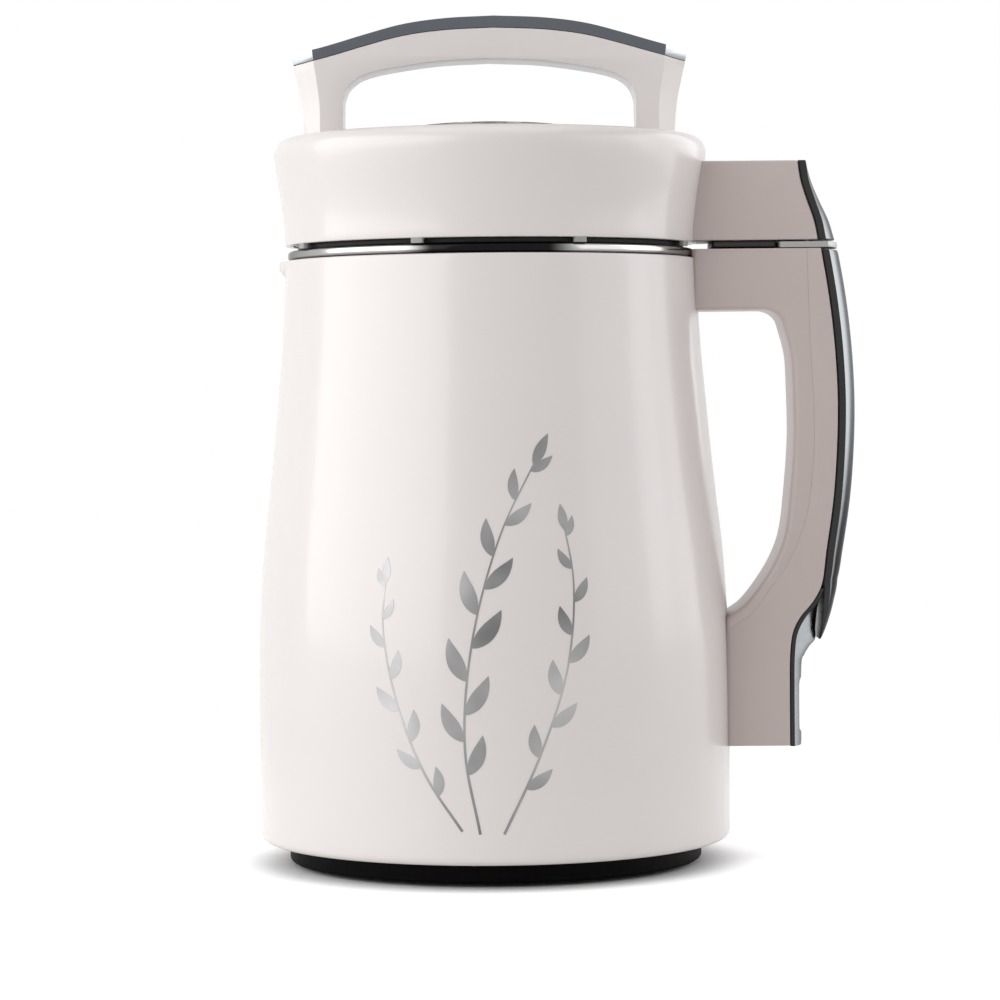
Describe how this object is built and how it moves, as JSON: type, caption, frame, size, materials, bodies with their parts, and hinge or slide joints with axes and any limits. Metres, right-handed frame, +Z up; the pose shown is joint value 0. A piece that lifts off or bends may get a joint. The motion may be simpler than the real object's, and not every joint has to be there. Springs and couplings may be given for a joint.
{
  "type": "nut milk maker",
  "caption": "Heated jug with a side handle and a lift-off motor head: blade in a twist-off guard, carry handle, domed control panel and mains inlet in the handle's foot.",
  "frame": {"origin": "on the standing surface, under the middle of the object's outline seen from above; the jug's own axis stands 23.35 mm towards -X from it", "axes": "+Z up; -Y is the printed front; +X points to the side handle"},
  "size_m": [0.2196, 0.1728, 0.3089],
  "materials": {
    "white_plastic": "warm white, gloss",
    "grey_white_plastic": "warm grey-white, satin gloss",
    "black_plastic": "black, fine moulded",
    "black_rubber": "black, matt",
    "clear_rubber": "milky silicone",
    "panel_gloss": "black, high gloss",
    "button_plastic": "silver grey, satin",
    "brushed_steel": "brushed and polished",
    "screw_steel": "plated",
    "dark_chrome": "dark bright plating",
    "silver_plate": "silver grey, satin",
    "aluminium": "as cast",
    "motor_iron": "laminations and enamelled winding",
    "copper": "copper bars",
    "bearing_steel": "ground",
    "brass_pin": "nickelled brass",
    "carbon": "pressed carbon",
    "circuit_board": "green board with parts",
    "lead_sleeve": "woven sleeve"
  },
  "bodies": {
    "jug": {"outer_shell": "white_plastic", "handle_grip_shell": "grey_white_plastic", "handle_back_shell": "grey_white_plastic", "base_cover": "black_plastic", "inlet_socket": "black_plastic", "coupler_socket": "black_plastic", "thermostat": "black_plastic", "foot_1": "black_rubber", "foot_2": "black_rubber", "foot_3": "black_rubber", "cup_gasket": "clear_rubber", "inner_cup": "brushed_steel", "heater_tube": "brushed_steel", "base_screw_1": "screw_steel", "base_screw_2": "screw_steel", "base_screw_3": "screw_steel", "handle_screw_top": "screw_steel", "handle_screw_bottom": "screw_steel", "handle_trim": "dark_chrome", "inlet_bezel": "dark_chrome", "handle_top_plate": "silver_plate", "heater_plate": "aluminium", "inlet_pin_earth": "brass_pin", "inlet_pin_live": "brass_pin", "inlet_pin_neutral": "brass_pin", "power_board": "circuit_board", "lead_coupler": "lead_sleeve", "lead_mains": "lead_sleeve"},
    "spin": {"shaft": "brushed_steel", "rotor": "motor_iron", "commutator": "copper", "fan": "black_plastic", "blade": "brushed_steel", "blade_nut": "brushed_steel"},
    "guard": {"blade_guard": "brushed_steel"},
    "button_1": {"button_1": "button_plastic"},
    "button_2": {"button_2": "button_plastic"},
    "button_3": {"button_3": "button_plastic"},
    "head": {"head_shell": "white_plastic", "control_panel": "panel_gloss", "control_board": "circuit_board", "carry_handle": "white_plastic", "carry_handle_trim": "dark_chrome", "carry_screw_left": "screw_steel", "carry_screw_right": "screw_steel", "brush_left": "carbon", "brush_right": "carbon", "coupler_housing": "grey_white_plastic", "coupler_trim": "dark_chrome", "coupler_plug": "black_plastic", "lower_drum": "brushed_steel", "head_seal": "black_rubber", "temperature_probe": "brushed_steel", "overflow_probe": "brushed_steel", "motor_bracket_bottom": "aluminium", "motor_stator": "motor_iron", "motor_bracket_top": "aluminium", "bearing_top": "bearing_steel", "bearing_bottom": "bearing_steel", "shaft_seal": "black_rubber"}
  },
  "joints": [
    {"name": "head_lift", "type": "slide", "parent": "jug", "child": "head", "axis": [0, 0, 1], "range_m": [0, 0.18]},
    {"name": "motor_spin", "type": "hinge", "parent": "head", "child": "spin", "pos_m": [-0.02335, 0, 0.15], "axis": [0, 0, 1], "continuous": true},
    {"name": "guard_twist", "type": "hinge", "parent": "head", "child": "guard", "pos_m": [-0.02335, 0, 0.105], "axis": [0, 0, 1], "range_deg": [0, 30]},
    {"name": "button_1_press", "type": "slide", "parent": "head", "child": "button_1", "axis": [0, 0, -1], "range_m": [0, 0.001], "stiffness_N_per_m": 600},
    {"name": "button_2_press", "type": "slide", "parent": "head", "child": "button_2", "axis": [0, 0, -1], "range_m": [0, 0.001], "stiffness_N_per_m": 600},
    {"name": "button_3_press", "type": "slide", "parent": "head", "child": "button_3", "axis": [0, 0, -1], "range_m": [0, 0.001], "stiffness_N_per_m": 600}
  ]
}
